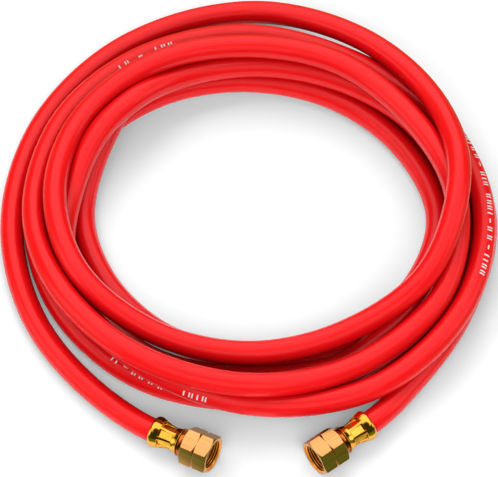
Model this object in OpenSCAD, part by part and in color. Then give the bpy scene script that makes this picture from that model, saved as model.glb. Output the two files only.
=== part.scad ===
// Rubber gas hose lying in a loose coil of seven passes, with a crimped brass
// ferrule, a nipple and a swivelling union nut at each end. Millimetres, +Z up.

/* [Hose] */
// outer diameter of the hose
hose_od = 13; // [11:0.1:15]
// bore of the hose
hose_bore = 6; // [5:0.1:8]
// width of the coil across its outermost turns
coil_w = 272.5; // [250:0.5:300]

/* [Ferrule] */
// length of the crimped ferrule
ferrule_len = 16.9; // [15:0.1:22]
// largest diameter, at the bell that takes the hose
bell_d = 17.1; // [16:0.1:20]
// diameter of the waist
waist_d = 13; // [12.6:0.1:14]
// diameter of the flared end at the nipple
flare_d = 15.6; // [14:0.1:17]
// number of crimp lands round the waist
lands = 8; // [6:1:10]
// width of each crimp land
land_w = 3.7; // [3.2:0.1:4.4]

/* [Nipple] */
// diameter of the shoulder behind the ferrule
shoulder_d = 13.8; // [12.6:0.1:15]
// length of the shoulder
shoulder_len = 2.4; // [1.8:0.1:5]
// clear gap from the shoulder to the nut
neck_gap = 0.8; // [0.5:0.1:1.5]
// diameter of the shank inside the nut's rear hole
shank_d = 11; // [9.6:0.1:11.6]
// through bore for the gas
nipple_bore = 3.8; // [3:0.1:4.2]

/* [Union nut] */
// width across the flats of the hexagon
nut_af = 19; // [18:0.1:22]
// length of the nut
nut_len = 16; // [14:0.5:20]
// core diameter of the thread, G3/8
thread_core_d = 14.95; // [14.5:0.05:15.5]
// diameter of the countersink at the mouth
mouth_d = 17; // [16.5:0.1:17.6]
// depth of the turned groove below the corners
groove_depth = 1.67; // [1.5:0.01:2]

/* [Hidden] */

sides = 10;
round_fn = 48;

// where the coil's centre lies in the part's frame
coil_at = [0.25, 8.58, 0];

// the two fittings: plan position of the ferrule's rim from the coil's centre,
// heading, upward tilt, roll of the nut and roll of the crimp lands
left_at = [-50.5, -135.2];
left_heading = -28;
left_tilt = 5;
left_roll = 11;
left_crimp = 27;
right_at = [63.2, -131.6];
right_heading = -143.5;
right_tilt = 0;
right_roll = 0;
right_crimp = 21;

// stations along a fitting, from the ferrule's rim toward the mouth
land_x = 5.2;
land_len = ferrule_len - land_x - 3.7;
land_depth = 0.35;
hose_end = ferrule_len - 1.1;
nut_x = ferrule_len + shoulder_len + neck_gap;
web = 3.5;
collar_x = nut_x + web + 0.1;
collar_len = 2.2;
tip_x = nut_x + 9;
collar_r = thread_core_d / 2 - 0.275;
hole_r = shank_d / 2 + 0.2;
relief_r = thread_core_d / 2 + 0.725;
thread_from = tip_x - nut_x + 0.2;
barb_pitch = (hose_end - 1.8) / 4;
corner_r = nut_af / 2 / cos(30);
chamfer = (corner_r - nut_af / 2) * tan(30);
squeezed_r = waist_d / 2 - 0.8;
tail_r = hose_bore / 2 - 0.06;

// each fitting rests on its nut: the right one on a flat, the left one on a corner
right_z = nut_af / 2;
left_z = corner_r * cos(30 - abs(left_roll)) * cos(left_tilt)
       - (nut_x + chamfer) * sin(left_tilt) + 0.05;

// The hose's route, turn by turn: degrees clockwise from the front, distance from the
// coil's centre, and height for a hose 13 thick. The outermost turn starts at the left
// fitting, climbs over the three others at the right and goes on as the innermost one.
turns = [
  [[30, 140, 6.5], [60, 133, 6.5], [90, 130, 6.5], [120, 131, 6.5], [150, 135, 6.5],
   [180, 138, 8], [210, 125.2, 24], [240, 117.6, 35], [270, 113.5, 45.8], [300, 109, 34],
   [330, 95.8, 20]],
  [[0, 94, 19.5], [30, 96.4, 21.2], [60, 104.3, 31], [90, 105.5, 32], [120, 105, 29],
   [150, 99.9, 32.8], [180, 97, 32.3], [210, 99, 32.3], [240, 101.5, 32.3], [270, 112, 32.8],
   [300, 119.6, 25.5], [330, 118.2, 22]],
  [[0, 119.5, 29.4], [30, 119, 32.8], [60, 117.5, 29], [90, 117.5, 20], [120, 117, 19.8],
   [150, 115.8, 18.5], [180, 114.5, 18], [210, 112.5, 18], [240, 119.5, 18.9],
   [270, 127.5, 19.5], [300, 132, 20], [330, 132.3, 18]],
  [[0, 123.5, 17], [30, 115.5, 20], [60, 109.5, 18.8], [75, 104, 19.4], [90, 98.5, 18.7],
   [120, 92, 28.9], [135, 89.6, 29.6], [150, 91, 24], [180, 93, 19.3], [210, 97, 19.3],
   [240, 106.5, 19], [270, 113.5, 19.2], [300, 107.5, 16.3], [315, 106.6, 13.3],
   [330, 106, 6.5]],
  [[0, 102, 6.5], [30, 104, 6.5], [60, 104, 6.5], [90, 104, 6.5], [120, 101.5, 6.5],
   [150, 95.5, 6.5], [180, 91.5, 6.5], [210, 92.5, 6.5], [240, 97, 6.5], [270, 103.5, 6.5],
   [300, 99, 6.5], [330, 92, 6.5]],
  [[0, 89, 6.5], [30, 88, 6.5], [60, 88, 6.5], [90, 91, 6.5], [120, 92.5, 15.9],
   [135, 97, 19.2], [150, 102.5, 16.8], [165, 104.4, 11], [180, 105.5, 6.5], [210, 106, 6.5],
   [240, 110.5, 6.5], [270, 116.5, 6.5], [300, 116, 6.5], [330, 119, 6.5]],
  [[0, 115.2, 6.5], [30, 117.2, 6.5], [60, 117.2, 6.5], [90, 117.3, 6.5], [120, 117.5, 6.5],
   [150, 121, 6.5], [180, 121, 6.5], [210, 120, 6.5], [240, 123.5, 6.5], [270, 129.5, 6.5],
   [300, 130.2, 6.5], [320, 136, 6.8]]
];

plan_scale = coil_w / 272.5;
rise_scale = hose_od / 13;
function rise(z) = hose_od / 2 + (z - 6.5) * rise_scale;
function on_turn(p) = [coil_at[0] - p[1] * plan_scale * sin(p[0]),
                       coil_at[1] - p[1] * plan_scale * cos(p[0]), rise(p[2])];
coil_points = [for (row = turns) for (p = row) on_turn(p)];

function along(heading, tilt) = [cos(heading) * cos(tilt), sin(heading) * cos(tilt), sin(tilt)];
left_dir = along(left_heading, left_tilt);
right_dir = along(right_heading, right_tilt);
left_start = [coil_at[0] + left_at[0] * plan_scale, coil_at[1] + left_at[1] * plan_scale, left_z];
right_start = [coil_at[0] + right_at[0] * plan_scale, coil_at[1] + right_at[1] * plan_scale,
               right_z];

control = concat([left_start + left_dir * 2, left_start], coil_points,
                 [right_start, right_start + right_dir * 2]);

// a smooth curve through the control points, no lower than the hose can lie
function floored(p) = [p[0], p[1], max(p[2], hose_od / 2)];
function leave(a, b, c) = (c - b) * norm(b - a) / (norm(b - a) + norm(c - b))
  + (b - a) * pow(norm(c - b), 2) / norm(b - a) / (norm(b - a) + norm(c - b));
function arrive(a, b, c) = (c - b) * pow(norm(b - a), 2) / norm(c - b) / (norm(b - a) + norm(c - b))
  + (b - a) * norm(c - b) / (norm(b - a) + norm(c - b));
function between(i, t) = floored(
  (2 * t * t * t - 3 * t * t + 1) * control[i]
  + (t * t * t - 2 * t * t + t) * leave(control[i - 1], control[i], control[i + 1])
  + (3 * t * t - 2 * t * t * t) * control[i + 1]
  + (t * t * t - t * t) * arrive(control[i], control[i + 1], control[i + 2]));
last = len(control) - 2;
curve = [for (i = [1 : last - 1]) for (t = [0, 0.5]) between(i, t)];

// rings of the hose: centre, direction, outer radius; the ends are squeezed by the ferrules
free_r = hose_od / 2;
ends_in = [[hose_end, squeezed_r], [5, squeezed_r], [1.5, free_r - 0.1]];
middle = [for (i = [1 : len(curve) - 1])
  [curve[i], (i < len(curve) - 1 ? curve[i + 1] : right_start) - curve[i - 1], free_r]];
rings = concat(
  [for (e = ends_in) [left_start + left_dir * e[0], -left_dir, e[1]]],
  [[left_start - left_dir * 0.6, -left_dir, free_r]],
  middle,
  [[right_start - right_dir * 0.6, right_dir, free_r]],
  [for (i = [2 : -1 : 0]) [right_start + right_dir * ends_in[i][0], right_dir, ends_in[i][1]]]);

function unit(v) = v / norm(v);
function ring(c, d, r) = let (f = unit(d), s = unit(cross(f, [0, 0, 1])), u = cross(s, f))
  [for (k = [0 : sides - 1]) let (a = -90 + 360 * k / sides) c + r * (cos(a) * s + sin(a) * u)];
bore_r = hose_bore / 2 / cos(180 / sides);
wall_points = concat([for (q = rings) each ring(q[0], q[1], q[2])],
                     [for (q = rings) each ring(q[0], q[1], bore_r)]);
n = len(rings);
function at(shell, i, k) = shell * n * sides + i * sides + k % sides;
wall_faces = concat(
  [for (i = [0 : n - 2]) for (k = [0 : sides - 1])
    each [[at(0, i, k), at(0, i + 1, k), at(0, i + 1, k + 1)],
          [at(0, i, k), at(0, i + 1, k + 1), at(0, i, k + 1)]]],
  [for (i = [0 : n - 2]) for (k = [0 : sides - 1])
    each [[at(1, i, k), at(1, i + 1, k + 1), at(1, i + 1, k)],
          [at(1, i, k), at(1, i, k + 1), at(1, i + 1, k + 1)]]],
  [for (k = [0 : sides - 1])
    each [[at(0, 0, k), at(0, 0, k + 1), at(1, 0, k + 1)],
          [at(0, 0, k), at(1, 0, k + 1), at(1, 0, k)]]],
  [for (k = [0 : sides - 1])
    each [[at(0, n - 1, k), at(1, n - 1, k + 1), at(0, n - 1, k + 1)],
          [at(0, n - 1, k), at(1, n - 1, k), at(1, n - 1, k + 1)]]]);

module hose() {
  color([0.85, 0.06, 0.07]) polyhedron(points = wall_points, faces = wall_faces, convexity = 20);
}

// a fitting's own frame: the axis along +X, from the ferrule's rim to the mouth
module at_left() {
  translate(left_start) rotate([0, -left_tilt, left_heading]) children();
}
module at_right() {
  translate(right_start) rotate([0, -right_tilt, right_heading]) children();
}
module turned(outline) {
  rotate([90, 0, 90]) rotate_extrude($fn = round_fn) polygon(outline);
}

// a turned shell with a flat land pressed in for each jaw of the crimping tool
module ferrule(roll) {
  bell = bell_d / 2;
  waist = waist_d / 2;
  flare = flare_d / 2;
  lip = hose_od / 2 + 0.15;
  color([0.80, 0.60, 0.22]) difference() {
    turned([[lip, 0], [bell - 1.05, 0.2], [bell - 0.45, 0.6], [bell - 0.1, 1.2], [bell, 2],
            [bell - 0.15, 3.2], [bell - 0.55, 4.6], [(bell + waist) / 2, 6.2],
            [waist + 0.5, 8], [waist + 0.12, 10], [waist, ferrule_len - 4.9],
            [waist + 0.05, ferrule_len - 3.5], [(flare + waist) / 2 - 0.3, ferrule_len - 2.1],
            [flare - 0.45, ferrule_len - 0.9], [flare, ferrule_len],
            [squeezed_r + 0.05, ferrule_len], [squeezed_r + 0.05, 5], [lip, 1.5]]);
    for (i = [0 : lands - 1])
      rotate([roll + 360 / lands * i, 0, 0])
        translate([land_x, -land_w / 2, waist - land_depth]) cube([land_len, land_w, bell]);
  }
}
module ferrule_left() { at_left() ferrule(left_crimp); }
module ferrule_right() { at_right() ferrule(right_crimp); }

// barbed tail in the hose, shoulder, shank, collar that holds the nut, and sealing nose
module nipple() {
  g = nipple_bore / 2;
  b = barb_pitch;
  color([0.78, 0.60, 0.26]) turned([[g, 1.8], [tail_r - 0.5, 1.8], [tail_r, b + 1.8],
    [tail_r - 0.4, b + 1.8], [tail_r, 2 * b + 1.8], [tail_r - 0.4, 2 * b + 1.8],
    [tail_r, 3 * b + 1.8], [tail_r - 0.4, 3 * b + 1.8], [tail_r, hose_end],
    [squeezed_r - 0.05, hose_end], [squeezed_r - 0.05, ferrule_len],
    [shoulder_d / 2, ferrule_len], [shoulder_d / 2, ferrule_len + shoulder_len],
    [shank_d / 2, ferrule_len + shoulder_len], [shank_d / 2, collar_x], [collar_r, collar_x],
    [collar_r, collar_x + collar_len], [collar_r - 0.95, collar_x + collar_len],
    [collar_r - 3.2, tip_x], [g, tip_x]]);
}
module nipple_left() { at_left() nipple(); }
module nipple_right() { at_right() nipple(); }

// hexagon turned to cones at both ends and with a groove round its middle
module union_nut(roll) {
  af = nut_af / 2;
  core = thread_core_d / 2;
  sink = mouth_d / 2 - core;
  mid = nut_len / 2;
  over = corner_r + 0.5;
  face_r = af - 0.06;
  cone = (over - face_r) * tan(30);
  v = (groove_depth + 0.5) * tan(25);
  color([0.76, 0.60, 0.32]) translate([nut_x, 0, 0]) difference() {
    intersection() {
      rotate([roll, 0, 0]) rotate([0, 90, 0]) cylinder(r = corner_r, h = nut_len, $fn = 6);
      rotate([roll + 13, 0, 0]) turned([[0, 0], [face_r, 0], [over, cone], [over, mid - v],
        [corner_r - groove_depth, mid], [over, mid + v],
        [over, nut_len - cone], [face_r, nut_len], [0, nut_len]]);
    }
    translate([-1, 0, 0]) rotate([0, 90, 0]) cylinder(r = hole_r, h = web + 2, $fn = round_fn);
    translate([web, 0, 0]) rotate([0, 90, 0])
      cylinder(r = relief_r, h = thread_from - web, $fn = round_fn);
    translate([web + 1, 0, 0]) rotate([0, 90, 0])
      cylinder(r = core, h = nut_len - web, $fn = round_fn);
    translate([nut_len - sink, 0, 0]) rotate([0, 90, 0])
      cylinder(r1 = core, r2 = core + 2 * sink, h = 2 * sink, $fn = round_fn);
  }
}
module union_nut_left() { at_left() union_nut(30 + left_roll); }
module union_nut_right() { at_right() union_nut(30 + right_roll); }

hose();
ferrule_left();
ferrule_right();
nipple_left();
nipple_right();
union_nut_left();
union_nut_right();
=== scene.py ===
import math
import bpy
import numpy as np
from mathutils import Matrix, Vector


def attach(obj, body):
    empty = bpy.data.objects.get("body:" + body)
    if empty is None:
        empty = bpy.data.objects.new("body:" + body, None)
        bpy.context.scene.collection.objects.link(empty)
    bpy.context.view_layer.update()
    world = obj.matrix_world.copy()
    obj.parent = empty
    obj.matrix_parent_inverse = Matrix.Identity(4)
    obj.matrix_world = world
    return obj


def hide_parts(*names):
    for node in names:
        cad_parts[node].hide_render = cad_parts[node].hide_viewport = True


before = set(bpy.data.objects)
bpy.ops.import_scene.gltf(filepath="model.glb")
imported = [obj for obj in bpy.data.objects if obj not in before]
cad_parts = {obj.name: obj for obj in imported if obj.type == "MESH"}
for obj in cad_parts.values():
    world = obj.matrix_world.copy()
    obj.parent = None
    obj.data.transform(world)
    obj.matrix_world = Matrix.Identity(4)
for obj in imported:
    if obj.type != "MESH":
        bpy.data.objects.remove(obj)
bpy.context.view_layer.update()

# The hose's route, turn by turn, as in the CAD source: degrees clockwise from the
# front, then distance from the coil's centre and height, in metres
COIL = (0.00025, 0.00858)
TURNS = [
    [(30, 0.140, 0.0065), (60, 0.133, 0.0065), (90, 0.130, 0.0065), (120, 0.131, 0.0065),
     (150, 0.135, 0.0065), (180, 0.138, 0.008), (210, 0.1252, 0.024), (240, 0.1176, 0.035),
     (270, 0.1135, 0.0458), (300, 0.109, 0.034), (330, 0.0958, 0.020)],
    [(0, 0.094, 0.0195), (30, 0.0964, 0.0212), (60, 0.1043, 0.031), (90, 0.1055, 0.032),
     (120, 0.105, 0.029), (150, 0.0999, 0.0328), (180, 0.097, 0.0323), (210, 0.099, 0.0323),
     (240, 0.1015, 0.0323), (270, 0.112, 0.0328), (300, 0.1196, 0.0255), (330, 0.1182, 0.022)],
    [(0, 0.1195, 0.0294), (30, 0.119, 0.0328), (60, 0.1175, 0.029), (90, 0.1175, 0.020),
     (120, 0.117, 0.0198), (150, 0.1158, 0.0185), (180, 0.1145, 0.018), (210, 0.1125, 0.018),
     (240, 0.1195, 0.0189), (270, 0.1275, 0.0195), (300, 0.132, 0.020), (330, 0.1323, 0.018)],
    [(0, 0.1235, 0.017), (30, 0.1155, 0.020), (60, 0.1095, 0.0188), (75, 0.104, 0.0194),
     (90, 0.0985, 0.0187), (120, 0.092, 0.0289), (135, 0.0896, 0.0296), (150, 0.091, 0.024),
     (180, 0.093, 0.0193), (210, 0.097, 0.0193), (240, 0.1065, 0.019), (270, 0.1135, 0.0192),
     (300, 0.1075, 0.0163), (315, 0.1066, 0.0133), (330, 0.106, 0.0065)],
    [(0, 0.102, 0.0065), (30, 0.104, 0.0065), (60, 0.104, 0.0065), (90, 0.104, 0.0065),
     (120, 0.1015, 0.0065), (150, 0.0955, 0.0065), (180, 0.0915, 0.0065),
     (210, 0.0925, 0.0065), (240, 0.097, 0.0065), (270, 0.1035, 0.0065), (300, 0.099, 0.0065),
     (330, 0.092, 0.0065)],
    [(0, 0.089, 0.0065), (30, 0.088, 0.0065), (60, 0.088, 0.0065), (90, 0.091, 0.0065),
     (120, 0.0925, 0.0159), (135, 0.097, 0.0192), (150, 0.1025, 0.0168), (165, 0.1044, 0.011),
     (180, 0.1055, 0.0065), (210, 0.106, 0.0065), (240, 0.1105, 0.0065), (270, 0.1165, 0.0065),
     (300, 0.116, 0.0065), (330, 0.119, 0.0065)],
    [(0, 0.1152, 0.0065), (30, 0.1172, 0.0065), (60, 0.1172, 0.0065), (90, 0.1173, 0.0065),
     (120, 0.1175, 0.0065), (150, 0.121, 0.0065), (180, 0.121, 0.0065), (210, 0.120, 0.0065),
     (240, 0.1235, 0.0065), (270, 0.1295, 0.0065), (300, 0.1302, 0.0065), (320, 0.136, 0.0068)],
]
R_HOSE = 0.0065
R_BORE = 0.003

# The fittings' sizes, in millimetres. Their stations count from the ferrule's rim, along
# the axis, toward the mouth of the nut
MM = 0.001
FERRULE, SHOULDER, NECK_GAP, NUT = 16.9, 2.4, 0.8, 16.0
HOSE_END = 15.8
SHOULDER_END = FERRULE + SHOULDER
NUT_X = SHOULDER_END + NECK_GAP
ACROSS_FLATS = 19.0
CORNER = ACROSS_FLATS / 2 / math.cos(math.radians(30))
CHAMFER = (CORNER - ACROSS_FLATS / 2) * math.tan(math.radians(30))

# The left-hand thread of G3/8, its stations along the nut from its rear face
THREAD_FROM, THREAD_TO = 9.2, 15.0
THREAD_PITCH, THREAD_CORE, THREAD_DEPTH = 1.337, 7.475, 0.80

# Where each fitting lies: the rim of its ferrule in metres, then in degrees its heading,
# its upward tilt, the roll of its nut and that of its crimp. The left one rests on a
# corner of its nut, the right one on a flat
LEFT_TILT, LEFT_ROLL = 5.0, 11.0
FLOOR_GAP = 0.05
TILT = math.radians(LEFT_TILT)
LEFT_Z = (CORNER * math.cos(math.radians(30 - LEFT_ROLL)) * math.cos(TILT)
          - (NUT_X + CHAMFER) * math.sin(TILT) + FLOOR_GAP) * MM
FITTINGS = {
    "left": dict(at=(COIL[0] - 0.0505, COIL[1] - 0.1352, LEFT_Z), heading=-28.0,
                 tilt=LEFT_TILT, roll=LEFT_ROLL, crimp=27.0),
    "right": dict(at=(COIL[0] + 0.0632, COIL[1] - 0.1316, ACROSS_FLATS / 2 * MM),
                  heading=-143.5, tilt=0.0, roll=0.0, crimp=21.0),
}


def axis_of(fit):
    heading, tilt = math.radians(fit["heading"]), math.radians(fit["tilt"])
    return np.array([math.cos(heading) * math.cos(tilt), math.sin(heading) * math.cos(tilt),
                     math.sin(tilt)])


def place(fit, points):
    """Points of a fitting's own frame (millimetres, axis along x) in the row frame."""
    turn = (Matrix.Rotation(math.radians(fit["heading"]), 3, "Z")
            @ Matrix.Rotation(math.radians(-fit["tilt"]), 3, "Y"))
    return np.asarray(points) * MM @ np.array(turn).T + np.array(fit["at"])


def control_points():
    """The route from rim to rim, with a point 2 mm inside each ferrule."""
    left, right = FITTINGS["left"], FITTINGS["right"]
    start, end = np.array(left["at"]), np.array(right["at"])
    points = [start + axis_of(left) * 0.002, start]
    for row in TURNS:
        for degrees, away, height in row:
            t = math.radians(degrees)
            points.append(np.array([COIL[0] - away * math.sin(t), COIL[1] - away * math.cos(t),
                                    height]))
    return points + [end, end + axis_of(right) * 0.002]


def smooth_curve(points, step):
    """Hermite curve through the points, with tangents that suit uneven spacing."""
    curve = []
    for i in range(1, len(points) - 2):
        p0, p1, p2, p3 = points[i - 1:i + 3]
        d1, d2, d3 = (np.linalg.norm(q - p) for p, q in ((p0, p1), (p1, p2), (p2, p3)))
        m1 = (p2 - p1) * d1 / (d1 + d2) + (p1 - p0) * d2 * d2 / d1 / (d1 + d2)
        m2 = (p3 - p2) * d2 * d2 / d3 / (d2 + d3) + (p2 - p1) * d3 / (d2 + d3)
        count = max(2, round(d2 / step))
        for k in range(count):
            t = k / count
            curve.append((2 * t ** 3 - 3 * t * t + 1) * p1 + (t ** 3 - 2 * t * t + t) * m1
                         + (3 * t * t - 2 * t ** 3) * p2 + (t ** 3 - t * t) * m2)
    curve.append(points[-2])
    curve = np.array(curve)
    curve[:, 2] = np.maximum(curve[:, 2], R_HOSE)
    # no kink where the hose comes down on the floor
    for _ in range(3):
        curve[1:-1, 2] = (curve[:-2, 2] + 2 * curve[1:-1, 2] + curve[2:, 2]) / 4
    return curve


# Mesh helpers
def mesh_object(name, verts, faces, smooth=True):
    mesh = bpy.data.meshes.new(name)
    mesh.from_pydata([tuple(map(float, v)) for v in verts], [],
                     [tuple(map(int, f)) for f in faces])
    mesh.update()
    piece = bpy.data.objects.new(name, mesh)
    bpy.context.scene.collection.objects.link(piece)
    if smooth:
        mesh.polygons.foreach_set("use_smooth", [True] * len(mesh.polygons))
    return piece


def ring_faces(rings, count, closed=False):
    """Quads between rings of count points each; closed also joins the last to the first."""
    faces = []
    for i in range(rings if closed else rings - 1):
        a, b = i * count, ((i + 1) % rings) * count
        for k in range(count):
            q = (k + 1) % count
            faces.append((a + k, b + k, b + q, a + q))
    return faces


def frames(path):
    """Along a path: its direction, the level sideways and the upward one."""
    along = np.gradient(path, axis=0)
    along /= np.linalg.norm(along, axis=1)[:, None]
    side = np.cross(along, [0.0, 0.0, 1.0])
    side /= np.linalg.norm(side, axis=1)[:, None]
    return along, side, np.cross(side, along)


def put_attribute(piece, name, values):
    attribute = piece.data.attributes.new(name, "FLOAT_VECTOR", "POINT")
    attribute.data.foreach_set("vector", np.asarray(values, dtype=np.float32).ravel())


# Shader helpers
def set_inputs(tree, made, inputs):
    """Gives each input of a node a value, or the output of another node."""
    for key, value in inputs.items():
        if isinstance(value, bpy.types.NodeSocket):
            tree.links.new(value, made.inputs[key])
        else:
            made.inputs[key].default_value = value


def node(tree, kind, inputs, **settings):
    made = tree.nodes.new("ShaderNode" + kind)
    for name, value in settings.items():
        setattr(made, name, value)
    set_inputs(tree, made, inputs)
    return made


def maths(tree, operation, a, b):
    return node(tree, "Math", {0: a, 1: b}, operation=operation).outputs[0]


def noise(tree, vector, scale, detail):
    return node(tree, "TexNoise",
                {"Vector": vector, "Scale": scale, "Detail": detail}).outputs["Fac"]


def ramp(tree, fac, low_at, low, high_at, high):
    made = node(tree, "ValToRGB", {"Fac": fac})
    for stop, at, colour in ((0, low_at, low), (1, high_at, high)):
        made.color_ramp.elements[stop].position = at
        made.color_ramp.elements[stop].color = (*colour, 1)
    return made.outputs["Color"]


def between(tree, fac, low, high):
    return node(tree, "MapRange", {"Value": fac, "To Min": low, "To Max": high}).outputs["Result"]


def step_up(tree, value, low, high, start=0.0, stop=1.0):
    """Goes smoothly from start to stop as the value goes from low to high."""
    return node(tree, "MapRange", {"Value": value, "From Min": low, "From Max": high,
                                   "To Min": start, "To Max": stop},
                interpolation_type="SMOOTHSTEP").outputs["Result"]


def bump(tree, height, strength, depth):
    return node(tree, "Bump", {"Height": height, "Strength": strength,
                               "Distance": depth}).outputs["Normal"]


def own_coordinates(tree, attribute, stretch):
    """The piece's own coordinates, in metres, each multiplied by its share in stretch."""
    own = node(tree, "Attribute", {}, attribute_name=attribute).outputs["Vector"]
    return node(tree, "VectorMath", {0: own, 1: stretch}, operation="MULTIPLY").outputs[0]


def material(name):
    made = bpy.data.materials.new(name)
    made.use_nodes = True
    return made, made.node_tree, made.node_tree.nodes["Principled BSDF"]


def show(tree, shader):
    """Makes a shader the material's surface, in place of the Principled one."""
    tree.links.new(shader.outputs[0], tree.nodes["Material Output"].inputs["Surface"])


# Materials
def rubber():
    """Satin red rubber: faint clouds drawn out along the hose, and a fine grain."""
    made, tree, surface = material("hose_rubber")
    where = own_coordinates(tree, "hose_co", (0.22, 1.0, 1.0))
    cloud = noise(tree, where, 160, 4)
    grain = noise(tree, where, 1500, 3)
    set_inputs(tree, surface, {
        "Base Color": ramp(tree, cloud, 0.3, (0.93, 0.0028, 0.0050), 0.7, (0.99, 0.0042, 0.0068)),
        "Roughness": between(tree, cloud, 0.22, 0.30),
        "Specular IOR Level": 0.33,
        "Normal": bump(tree, grain, 0.11, 0.00025)})
    return made


def paint():
    """Thin white paint through which the red shows in specks."""
    made, tree, surface = material("print_white")
    wear = noise(tree, node(tree, "TexCoord", {}).outputs["Object"], 2500, 2)
    set_inputs(tree, surface, {
        "Base Color": ramp(tree, wear, 0.35, (0.93, 0.62, 0.60), 0.55, (0.94, 0.86, 0.84)),
        "Roughness": 0.55})
    return made


def brass(name, low, high, rough, streak, depth, stretch=(0.03, 1.0, 1.0), scale=900):
    """A metal with fine streaks along or round the fitting's own axis: streak is how far
    they shift the roughness, and depth is the depth of their relief in metres."""
    made, tree, surface = material(name)
    lines = noise(tree, own_coordinates(tree, "fit_co", stretch), scale, 5)
    set_inputs(tree, surface, {
        "Metallic": 1.0,
        "Base Color": ramp(tree, lines, 0.3, low, 0.7, high),
        "Roughness": between(tree, lines, rough - streak, rough + streak),
        "Normal": bump(tree, lines, 0.35, depth)})
    return made


def thread_brass():
    """Cut thread: bright orange crests, and painted shade that darkens the roots."""
    made = brass("thread_turned", (1.0, 0.29, 0.02), (1.0, 0.38, 0.04), 0.20, 0.05, 0.00002,
                 (1.0, 0.05, 0.05))
    tree = made.node_tree
    surface = tree.nodes["Principled BSDF"]
    tone = surface.inputs["Base Color"].links[0].from_socket
    across = own_coordinates(tree, "fit_co", (0.0, 1.0, 1.0))
    radius = node(tree, "VectorMath", {0: across}, operation="LENGTH").outputs["Value"]
    root_shade = step_up(tree, radius, (THREAD_CORE + 0.175) * MM, (THREAD_CORE + 0.575) * MM)
    # the plain countersink at the mouth is as bright as the crests
    own = own_coordinates(tree, "fit_co", (1.0, 1.0, 1.0))
    along = node(tree, "SeparateXYZ", {0: own}).outputs["X"]
    threaded = maths(tree, "LESS_THAN", along, (NUT_X + THREAD_TO) * MM)
    # painted shade: the thread's roots go a near-black brown, the crests keep their orange
    mixed = node(tree, "Mix", {0: maths(tree, "MULTIPLY", root_shade, threaded), 6: tone,
                               7: (0.09, 0.016, 0.004, 1)}, data_type="RGBA")
    set_inputs(tree, surface, {"Metallic": 0.5, "Base Color": mixed.outputs[2]})
    return made


RUBBER = rubber()
PAINT = paint()
GILT = brass("ferrule_gilt", (0.98, 0.41, 0.04), (1.0, 0.54, 0.08), 0.12, 0.04, 0.00002,
             (1.0, 0.6, 0.6), 350)
SATIN = brass("nut_satin", (0.64, 0.30, 0.09), (0.80, 0.41, 0.145), 0.22, 0.05, 0.00004)
TURNED = brass("nipple_turned", (0.55, 0.13, 0.02), (0.70, 0.20, 0.04), 0.16, 0.05, 0.00003,
               (1.0, 0.02, 0.02))
THREAD = thread_brass()


# The hose. Inside a ferrule it is squeezed: depth from the rim and outer radius, in millimetres
SQUEEZED = [(HOSE_END, 5.7), (12.0, 5.7), (5.0, 5.7), (3.0, 6.1), (1.5, 6.4), (0.7, 6.48)]
HOSE_SIDES = 36


def hose():
    left, right = FITTINGS["left"], FITTINGS["right"]
    start, end = np.array(left["at"]), np.array(right["at"])
    head = [start + axis_of(left) * depth * MM for depth, radius in SQUEEZED]
    tail = [end + axis_of(right) * depth * MM for depth, radius in reversed(SQUEEZED)]
    path = np.vstack([head, smooth_curve(control_points(), 0.003), tail])
    rings = len(path)
    radii = np.full(rings, R_HOSE)
    for i, (depth, radius) in enumerate(SQUEEZED):
        radii[i] = radii[-1 - i] = radius * MM
    along, side, up = frames(path)
    angles = -math.pi / 2 + np.arange(HOSE_SIDES) * 2 * math.pi / HOSE_SIDES
    cos, sin = np.cos(angles), np.sin(angles)
    arc = np.concatenate([[0], np.cumsum(np.linalg.norm(np.diff(path, axis=0), axis=1))])
    outer = path[:, None, :] + radii[:, None, None] * (
        cos[None, :, None] * side[:, None, :] + sin[None, :, None] * up[:, None, :])
    faces = [f[::-1] for f in ring_faces(rings, HOSE_SIDES)]
    # each end face runs in to the bore, whose wall is hidden behind the nipple
    inner = [path[i] + R_BORE * (cos[:, None] * side[i] + sin[:, None] * up[i])
             for i in (0, rings - 1)]
    first = rings * HOSE_SIDES
    last_ring = first - HOSE_SIDES
    for k in range(HOSE_SIDES):
        q = (k + 1) % HOSE_SIDES
        faces.append((k, q, first + q, first + k))
        faces.append((last_ring + q, last_ring + k, first + HOSE_SIDES + k,
                      first + HOSE_SIDES + q))
    tube = mesh_object("hose_tube", np.vstack([outer.reshape(-1, 3), *inner]), faces)
    own = np.stack([np.repeat(arc, HOSE_SIDES), np.tile(cos, rings) * R_HOSE,
                    np.tile(sin, rings) * R_HOSE], 1)
    put_attribute(tube, "hose_co", np.vstack([own, np.zeros((2 * HOSE_SIDES, 3))]))
    tube.data.materials.append(RUBBER)
    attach(tube, "hose")
    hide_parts("hose")
    return tube, path, arc, side, up


# The printed line, as plain strokes: where each starts round the coil (degrees from the
# first fitting), its turn on the hose (degrees from the top toward the centre), its kind
MARKS = [
    (860.6, 26, "bar"), (863.1, 25, "pair"), (867.6, 23, "dash"), (872.6, 24, "bar"),
    (874.9, 24, "pair"), (877.0, 25, "pair"),
    (971.4, -44, "pair"), (973.1, -45, "bar"), (974.9, -45, "pair"), (977.3, -42, "pair"),
    (979.8, -38, "dash"), (982.7, -33, "pair"), (984.2, -31, "bar"), (985.6, -31, "pair"),
    (989.2, -31, "pair"), (991.0, -30, "pair"), (992.6, -29, "pair"), (994.2, -28, "bar"),
    (996.3, -27, "dash"), (998.6, -28, "pair"), (1001.0, -30, "pair"), (1003.7, -31, "dash"),
    (1006.0, -30, "bar"), (1007.4, -30, "bar"), (1009.0, -31, "pair"), (1010.8, -31, "pair"),
    (1090.6, -60, "pair"), (1092.3, -62, "bar"), (1094.0, -64, "pair"), (1095.8, -66, "bar"),
    (2180.2, -38, "dash"), (2183.2, -30, "pair"), (2185.9, -23, "pair"), (2188.7, -18, "pair"),
    (2190.9, -15, "pair"), (2193.6, -13, "dash"), (2196.5, -10, "bar"), (2197.9, -9, "bar"),
]
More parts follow.
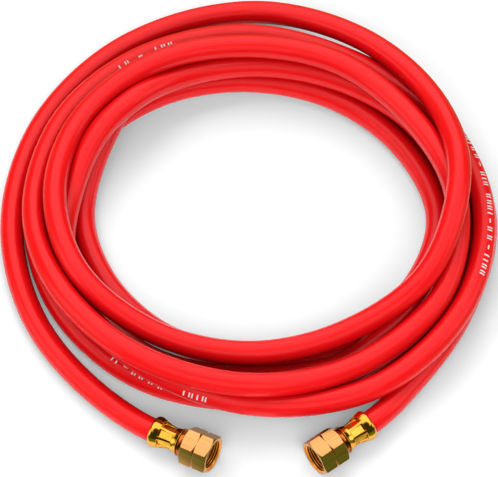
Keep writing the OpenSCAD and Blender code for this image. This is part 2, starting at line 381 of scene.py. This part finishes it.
# each kind's strokes in millimetres: length along the hose, width across, shift along
STROKES = {
    "dash": [(2.6, 0.8, 0.0)],
    "bar": [(0.8, 3.2, 0.0)],
    "pair": [(0.75, 3.1, -0.8), (0.75, 3.1, 0.8)],
}
PAINT_TOP, PAINT_FOOT = R_HOSE + 0.00006, R_HOSE - 0.00012


def stroke(verts, faces, point_at, at, turn, along, across):
    """Adds a slab of paint that is bent to the hose, a twentieth of a millimetre proud."""
    rows, columns = 7, 5
    base = len(verts)
    for radius in (PAINT_TOP, PAINT_FOOT):
        for i in range(rows):
            for j in range(columns):
                x = at + (i / (rows - 1) - 0.5) * along
                angle = math.radians(turn) + (j / (columns - 1) - 0.5) * across / R_HOSE
                verts.append(point_at(x, angle, radius))
    under = rows * columns
    for i in range(rows - 1):
        for j in range(columns - 1):
            k = base + i * columns + j
            top = (k, k + 1, k + columns + 1, k + columns)
            faces.append(top)
            faces.append((k + under, k + under + columns, k + under + columns + 1,
                          k + under + 1))
    rim = ([i * columns for i in range(rows)]
           + [(rows - 1) * columns + j for j in range(1, columns)]
           + [i * columns + columns - 1 for i in range(rows - 2, -1, -1)]
           + list(range(columns - 2, 0, -1)))
    for k, q in zip(rim, rim[1:] + rim[:1]):
        faces.append((base + k, base + k + under, base + q + under, base + q))


def printing(path, arc, side, up):
    round_coil = np.degrees(np.unwrap(np.arctan2(COIL[0] - path[:, 0], COIL[1] - path[:, 1])))

    def point_at(x, angle, radius):
        centre, sideways, upward = (np.array([np.interp(x, arc, v[:, k]) for k in range(3)])
                                    for v in (path, side, up))
        return centre + radius * (math.cos(angle) * upward + math.sin(angle) * sideways)

    verts, faces = [], []
    for degrees, turn, kind in MARKS:
        at = float(np.interp(degrees, round_coil, arc))
        for along, across, shift in STROKES[kind]:
            stroke(verts, faces, point_at, at + shift * MM, turn, along * MM, across * MM)
    marks = mesh_object("hose_print", verts, faces, smooth=False)
    marks.data.materials.append(PAINT)
    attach(marks, "hose")


# Turned pieces
def shell(name, fit, rings, angles, coat, body, stands_for):
    """A closed ring-by-ring surface: each ring is (x, radius), each a number or an array
    over the angles."""
    count = len(angles)
    local = []
    for x, radius in rings:
        x = np.broadcast_to(x, count)
        radius = np.broadcast_to(radius, count)
        local.append(np.stack([x, radius * np.cos(angles), radius * np.sin(angles)], 1))
    local = np.vstack(local)
    piece = mesh_object(name, place(fit, local), ring_faces(len(rings), count, closed=True))
    put_attribute(piece, "fit_co", local * MM)
    piece.data.materials.append(coat)
    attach(piece, body)
    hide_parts(stands_for)
    return piece


def soft_min(a, b, width):
    share = np.clip(0.5 + 0.5 * (b - a) / width, 0, 1)
    return b * (1 - share) + a * share - width * share * (1 - share)


def smoothstep(low, high, x):
    t = np.clip((x - low) / (high - low), 0, 1)
    return t * t * (3 - 2 * t)


# The ferrule's outline from rim to flare, its inside from flare to rim, and its lands
FERRULE_OUT = [(0.0, 7.1), (0.2, 7.6), (0.6, 8.1), (1.2, 8.45), (2.0, 8.55), (3.2, 8.4), (4.6, 8.0),
               (6.2, 7.5), (8.0, 7.0), (10.0, 6.62), (12.0, 6.5), (13.4, 6.56), (14.8, 6.86),
               (16.0, 7.36), (16.75, 7.76), (FERRULE, 7.8)]
FERRULE_IN = [(17.0, 7.72), (17.02, 7.5), (16.95, 7.0), (FERRULE, 5.75), (16.0, 5.75), (5.0, 5.75),
              (1.5, 6.62), (0.0, 6.66), (-0.1, 6.8), (-0.08, 6.95)]
LANDS = 8
LAND = dict(half=1.85, floor=6.15, start=5.4, stop=13.2)


def ferrule(side):
    fit = FITTINGS[side]
    stations = np.concatenate([
        np.linspace(0, 2, 14), np.linspace(2.2, 5.0, 10), np.linspace(5.1, 6.6, 16),
        np.linspace(6.8, 12.6, 30), np.linspace(12.7, 13.5, 10), np.linspace(13.7, FERRULE, 20)])
    outline = np.interp(stations, *zip(*FERRULE_OUT))
    for _ in range(2):
        outline[1:-1] = (outline[:-2] + 2 * outline[1:-1] + outline[2:]) / 4
    # the points of each ring lie closest where the lands' sides stand
    period = 360 / LANDS
    edge = np.degrees(np.arctan2(LAND["half"], LAND["floor"]))
    one = np.concatenate([np.linspace(-edge + 1.2, edge - 1.2, 9),
                          edge + np.linspace(-0.9, 1.5, 9),
                          np.linspace(edge + 2.2, period - edge - 2.2, 9),
                          period - edge - np.linspace(1.5, -0.9, 9)])
    angles = np.radians(np.concatenate([one + period * k for k in range(LANDS)]) + fit["crimp"])
    from_land = (np.degrees(angles) - fit["crimp"] + period / 2) % period - period / 2
    across = np.abs(np.tan(np.radians(from_land)) * LAND["floor"])
    flat = LAND["floor"] / np.cos(np.radians(from_land))
    pressed = 1 - smoothstep(LAND["half"] - 0.06, LAND["half"] + 0.10, across)
    rings = []
    for x, radius in zip(stations, outline):
        share = pressed * smoothstep(LAND["start"], LAND["start"] + 0.8, x)
        share = share * (1 - smoothstep(LAND["stop"] - 0.12, LAND["stop"] + 0.12, x))
        rings.append((x, radius * (1 - share) + np.minimum(flat, radius) * share))
    shell("ferrule_" + side + "_shell", fit, rings + FERRULE_IN, angles, GILT, "hose",
          "ferrule_" + side)


# The nipple: a barbed tail in the hose, a shoulder, a shank, a collar and a conical nose
GAS_WAY = 1.9
BARB_START, BARB_PITCH, BARB_CREST, BARB_ROOT = 1.8, 3.5, 2.93, 2.55
SHANK_R, COLLAR_R, NOSE_LEN = 5.5, 7.2, 9.0
CRISP = 0.06


def nipple(side):
    collar = NUT_X + 3.6
    nose = NUT_X + NOSE_LEN
    outline = [(BARB_START, GAS_WAY), (BARB_START, 2.5)]
    for k in (1, 2, 3):
        barb = BARB_START + k * BARB_PITCH
        outline += [(barb, BARB_CREST), (barb, BARB_ROOT)]
    outline += [(HOSE_END, BARB_CREST), (HOSE_END, 5.65),
                (FERRULE + 0.05, 5.65), (FERRULE + 0.05, 6.7), (FERRULE + 0.25, 6.9),
                (SHOULDER_END - 0.25, 6.9), (SHOULDER_END, 6.65), (SHOULDER_END, SHANK_R),
                (collar, SHANK_R), (collar, COLLAR_R - 0.1), (collar + 0.1, COLLAR_R),
                (collar + 2.1, COLLAR_R), (collar + 2.2, COLLAR_R - 0.1), (collar + 2.2, 6.25),
                (nose - 0.1, 4.1), (nose, 3.9), (nose, 2.1), (nose - 0.2, GAS_WAY)]
    rings = []
    for i, (x, radius) in enumerate(outline):
        # a doubled ring at each corner keeps the turned edges crisp under smooth shading
        for other_x, other_radius in (outline[i - 1], outline[(i + 1) % len(outline)]):
            length = math.hypot(other_x - x, other_radius - radius)
            share = min(CRISP, length / 3) / length
            rings.append((x + (other_x - x) * share, radius + (other_radius - radius) * share))
    angles = np.arange(96) * 2 * math.pi / 96
    shell("nipple_" + side + "_turned", FITTINGS[side], rings, angles, TURNED, "hose",
          "nipple_" + side)


# The nut: where the chamfers and the groove start, and the inside behind the thread
CHAMFER_R, CHAMFER_ANGLE = 9.44, math.radians(30)
GROOVE_R, GROOVE_ANGLE = 9.44, math.radians(25)
EDGE_WIDTH = 0.12
WEB, REAR_HOLE_R, UNDERCUT_R = 3.5, 5.7, 8.2
MOUTH = [(NUT, 9.2), (NUT, 8.65), (NUT - 0.03, 8.5)]
REAR = [(9.15, UNDERCUT_R), (WEB, UNDERCUT_R), (WEB, REAR_HOLE_R + 0.1),
        (WEB - 0.1, REAR_HOLE_R), (0.15, REAR_HOLE_R), (0.0, REAR_HOLE_R + 0.15), (0.0, 9.2)]
HALF_FLAT = [5, 10, 15, 20, 24, 26, 27.4, 28.2, 28.8, 29.2, 29.6]
ROWS_PER_TURN = 8


def thread_rings(angles):
    """Countersink and left-hand thread, from the mouth inward, in rows sheared along the
    helix. The tooth's depth is set by the row, and its place by the angle too."""
    around = (angles - angles[0]) / (2 * math.pi)
    rows = int(round((THREAD_TO - THREAD_FROM + THREAD_PITCH) / THREAD_PITCH * ROWS_PER_TURN))
    rings = []
    for i in range(rows + 1):
        x = THREAD_TO - i * THREAD_PITCH / ROWS_PER_TURN + THREAD_PITCH * around
        x = np.clip(x, THREAD_FROM, THREAD_TO + 1.0)
        phase = (i % ROWS_PER_TURN) / ROWS_PER_TURN
        tooth = smoothstep(0.08, 0.92, abs(2 * ((phase + 0.5) % 1) - 1))
        countersink = THREAD_CORE + np.maximum(x - (NUT - 1.025), 0)
        rings.append((x, np.maximum(THREAD_CORE + THREAD_DEPTH * tooth, countersink)))
    return rings


def union_nut(side):
    fit = FITTINGS[side]
    one = np.array([-30] + [-a for a in reversed(HALF_FLAT)] + [0] + HALF_FLAT)
    angles = np.radians(np.concatenate([60 * k + one for k in range(6)]) - 90 + fit["roll"])
    from_flat = (np.degrees(angles) + 90 - fit["roll"] + 30) % 60 - 30
    hexagon = ACROSS_FLATS / 2 / np.cos(np.radians(from_flat))
    middle = NUT / 2
    stations = np.concatenate([
        np.linspace(0, 1.0, 14), np.linspace(1.3, middle - 1.3, 5),
        np.linspace(middle - 1.05, middle + 1.05, 29),
        np.linspace(middle + 1.3, NUT - 1.3, 5), np.linspace(NUT - 1.0, NUT, 14)])
    rings = []
    for x in stations:
        chamfer = CHAMFER_R + min(x, NUT - x) / math.tan(CHAMFER_ANGLE)
        groove = GROOVE_R + abs(x - middle) / math.tan(GROOVE_ANGLE)
        radius = soft_min(hexagon, np.full_like(hexagon, chamfer), EDGE_WIDTH)
        rings.append((x, soft_min(radius, np.full_like(hexagon, groove), EDGE_WIDTH)))
    rings += MOUTH
    thread_first = len(rings) - 1
    rings += thread_rings(angles) + REAR
    thread_last = len(rings) - 1
    nut = shell("union_nut_" + side + "_hex", fit, [(NUT_X + x, r) for x, r in rings], angles,
                SATIN, "nut_" + side, "union_nut_" + side)
    nut.data.materials.append(THREAD)
    coat = np.zeros(len(nut.data.polygons), dtype=np.int32)
    coat[thread_first * len(angles):thread_last * len(angles)] = 1
    nut.data.polygons.foreach_set("material_index", coat)


# Camera: the photograph's scale at its centre, in millimetres of floor in a pixel
SCALE = 0.549
PHOTO_WIDTH = 498
DISTANCE = 2.0
ELEVATION = math.radians(57.5)
AIM = Vector((COIL[0], COIL[1] - 0.0095, 0.0))


def camera():
    lens = bpy.data.cameras.new("camera")
    lens.sensor_width = 36
    lens.lens = DISTANCE / MM / SCALE / PHOTO_WIDTH * lens.sensor_width
    lens.clip_end = 50
    eye = bpy.data.objects.new("camera", lens)
    bpy.context.scene.collection.objects.link(eye)
    eye.location = AIM + Vector((0, -math.cos(ELEVATION), math.sin(ELEVATION))) * DISTANCE
    eye.rotation_euler = (math.pi / 2 - ELEVATION, 0, 0)
    bpy.context.scene.camera = eye
    bpy.context.scene.view_settings.view_transform = "Standard"
    # the red hose throws no red on the floor, and the gaps between its turns stay dark
    bpy.context.scene.cycles.diffuse_bounces = 0


# Lights: the sky's strength, what the white floor adds to its own light in view, and what
# it throws back on the object
SKY, IN_VIEW, THROWN_BACK = 0.33, 0.12, 0.95


def lamp(name, size, power, at):
    """A soft lamp aimed at the middle of the floor, which shows in no reflection."""
    light = bpy.data.lights.new(name, "AREA")
    light.shape = "RECTANGLE"
    light.size, light.size_y = size
    light.energy = power
    holder = bpy.data.objects.new(name, light)
    bpy.context.scene.collection.objects.link(holder)
    holder.location = at
    holder.rotation_euler = (-Vector(at)).to_track_quat("-Z", "Y").to_euler()
    holder.visible_glossy = False


def in_view(tree):
    """1 on camera, glossy and transmission rays, and 0 on all others."""
    rays = node(tree, "LightPath", {}).outputs
    seen = maths(tree, "MAXIMUM", rays["Is Camera Ray"], rays["Is Glossy Ray"])
    return maths(tree, "MAXIMUM", seen, rays["Is Transmission Ray"])


def floor():
    sweep = mesh_object("floor", [(-6, -6, 0), (6, -6, 0), (6, 6, 0), (-6, 6, 0)],
                        [(0, 1, 2, 3)], smooth=False)
    made, tree, surface = material("floor_white")
    # the background's white, as the camera and reflections see it, and the light that the
    # white floor throws back on the object, as no diffuse ray goes further than the floor
    white = maths(tree, "MULTIPLY", in_view(tree), IN_VIEW)
    diffuse = node(tree, "LightPath", {}).outputs["Is Diffuse Ray"]
    thrown = maths(tree, "MULTIPLY", diffuse, THROWN_BACK)
    set_inputs(tree, surface, {
        "Base Color": (0.95, 0.95, 0.95, 1),
        "Roughness": 0.9,
        "Specular IOR Level": 0.0,
        "Emission Color": (1, 1, 1, 1),
        "Emission Strength": maths(tree, "ADD", white, thrown)})
    made.cycles.emission_sampling = "NONE"
    sweep.data.materials.append(made)


def sky():
    """Even light from all round; what looks at it sees white."""
    world = bpy.context.scene.world or bpy.data.worlds.new("world")
    bpy.context.scene.world = world
    world.cycles_visibility.glossy = False
    world.use_nodes = True
    tree = world.node_tree
    tree.nodes.clear()
    light = node(tree, "Background", {"Color": (1, 1, 1, 1), "Strength": SKY})
    white = node(tree, "Background", {"Color": (1, 1, 1, 1), "Strength": 1.0})
    mixed = node(tree, "MixShader", {0: in_view(tree), 1: light.outputs[0], 2: white.outputs[0]})
    node(tree, "OutputWorld", {"Surface": mixed.outputs[0]})


# Painted reflections: what the gloss and the metal reflect round the white floor, a glowing dome
# seen by glossy rays alone
def light_dome():
    """Painted reflections and highlights: bright above, dark low down and about the camera, a
    bright patch low at each side.
    """
    around, rings, radius = 48, 16, 3
    verts = []
    for i in range(rings + 1):
        e = math.radians(90 * i / rings)
        for k in range(around):
            a = 2 * math.pi * k / around
            verts.append((radius * math.cos(e) * math.cos(a), radius * math.cos(e) * math.sin(a),
                          radius * math.sin(e) - 0.05))
    dome = mesh_object("reflection_dome", verts, ring_faces(rings + 1, around))
    made, tree, _ = material("reflection_dome_paint")
    unit = node(tree, "VectorMath", {0: node(tree, "TexCoord", {}).outputs["Object"]},
                operation="NORMALIZE").outputs[0]

    def patch(direction, edge, full, start=0.0, stop=1.0):
        """Start away from a direction, stop within it; edge and full are cosines."""
        cosine = node(tree, "VectorMath", {0: unit, 1: direction}, operation="DOT_PRODUCT")
        return step_up(tree, cosine.outputs["Value"], edge, full, start, stop)

    overhead = patch((0, 0.10, 0.995), 0.60, 0.80)
    behind = patch((0, 0.75, 0.66), 0.82, 0.94)
    off_camera = patch((0, -0.537, 0.843), 0.87, 0.955, 1.0, 0.0)
    left_glint = patch((-0.93, -0.15, 0.33), 0.90, 0.975)
    right_glint = patch((0.92, 0.0, 0.39), 0.93, 0.98)
    above = maths(tree, "MULTIPLY", maths(tree, "ADD", overhead, behind), off_camera)
    low = maths(tree, "ADD", left_glint, right_glint)
    # painted reflection: dark olive outside the patches, glowing white at 1.5 within them
    blend = node(tree, "Mix", {0: maths(tree, "ADD", above, low), 6: (0.03, 0.05, 0.02, 1),
                               7: (1.5, 1.5, 1.5, 1)}, data_type="RGBA", clamp_factor=True)
    show(tree, node(tree, "Emission", {"Color": blend.outputs[2]}))
    dome.data.materials.append(made)
    return dome


def painted_dark_ring():
    """A painted dark reflection: a dark olive glowing ring beyond the white floor, clear near the
    object.
    """
    around = 64
    height = 0.0004
    verts = []
    for radius in (0.15, 2.9):
        for k in range(around):
            a = 2 * math.pi * k / around
            verts.append((radius * math.cos(a) + COIL[0], radius * math.sin(a) + COIL[1], height))
    glow_ring = mesh_object("dark_ring_reflection", verts, ring_faces(2, around))
    made, tree, _ = material("dark_ring_paint")
    away = node(tree, "VectorMath", {0: node(tree, "TexCoord", {}).outputs["Object"]},
                operation="LENGTH").outputs["Value"]
    clear = node(tree, "BsdfTransparent", {})
    # painted dark reflection: the metal sees this dark olive glow in place of the white floor
    # farther out
    dark = node(tree, "Emission", {"Color": (0.15, 0.24, 0.05, 1)})
    show(tree, node(tree, "MixShader", {0: step_up(tree, away, 0.158, 0.176),
                                        1: clear.outputs[0], 2: dark.outputs[0]}))
    glow_ring.data.materials.append(made)
    return glow_ring


def low_cards():
    """Low cards between the fittings and the coil, glowing as painted reflections: two dark ones
    streaked with the hose's red behind the ferrules, and a grey one between them."""
    arcs = ((15, 33, 0.130), (-22, -6, 0.139), (1, 14.9, 0.1305))
    bottom, top, steps = 0.003, 0.034, 8
    verts, faces = [], []
    for first, last, away in arcs:
        base = len(verts)
        for k in range(steps + 1):
            a = math.radians(first + (last - first) * k / steps)
            x, y = COIL[0] - away * math.sin(a), COIL[1] - away * math.cos(a)
            verts += [(x, y, bottom), (x, y, top)]
        for k in range(base, base + 2 * steps, 2):
            faces.append((k, k + 2, k + 3, k + 1))
    cards = mesh_object("cards_painted_reflection", verts, faces)
    streaked, tree, _ = material("card_painted_hose_reflection")
    level = node(tree, "VectorMath", {0: node(tree, "TexCoord", {}).outputs["Object"],
                                      1: (0.05, 0.05, 1.0)}, operation="MULTIPLY").outputs[0]
    # painted reflection of the hose: dark, with streaks of its red
    tone = ramp(tree, noise(tree, level, 260, 1), 0.5, (0.05, 0.012, 0.01),
                0.68, (0.75, 0.22, 0.16))
    show(tree, node(tree, "Emission", {"Color": tone}))
    grey, tree, surface = material("card_painted_grey_reflection")
    # painted reflection: a flat grey glow
    set_inputs(tree, surface, {"Base Color": (0, 0, 0, 1), "Emission Strength": 1.0,
                               "Emission Color": (0.34, 0.32, 0.30, 1)})
    cards.data.materials.append(streaked)
    cards.data.materials.append(grey)
    for k in range(2 * steps, 3 * steps):
        cards.data.polygons[k].material_index = 1
    return cards


def studio():
    floor()
    sky()
    lamp("key", (2.2, 1.4), 25, (-0.35, 1.05, 1.6))
    lamp("fill", (2.0, 1.2), 22, (0, -1.3, 1.3))
    # the dome, the dark ring and the low cards are painted reflections: only glossy rays see them
    for reflection_piece in (light_dome(), painted_dark_ring(), low_cards()):
        reflection_piece.visible_camera = reflection_piece.visible_diffuse = reflection_piece.visible_shadow = False
        reflection_piece.visible_transmission = reflection_piece.visible_volume_scatter = False


tube, path, arc, side_way, up_way = hose()
printing(path, arc, side_way, up_way)
for side in ("left", "right"):
    ferrule(side)
    nipple(side)
    union_nut(side)
camera()
studio()
bpy.context.view_layer.update()

list(FITTINGS["left"]["at"])
[list(p) for p in path]
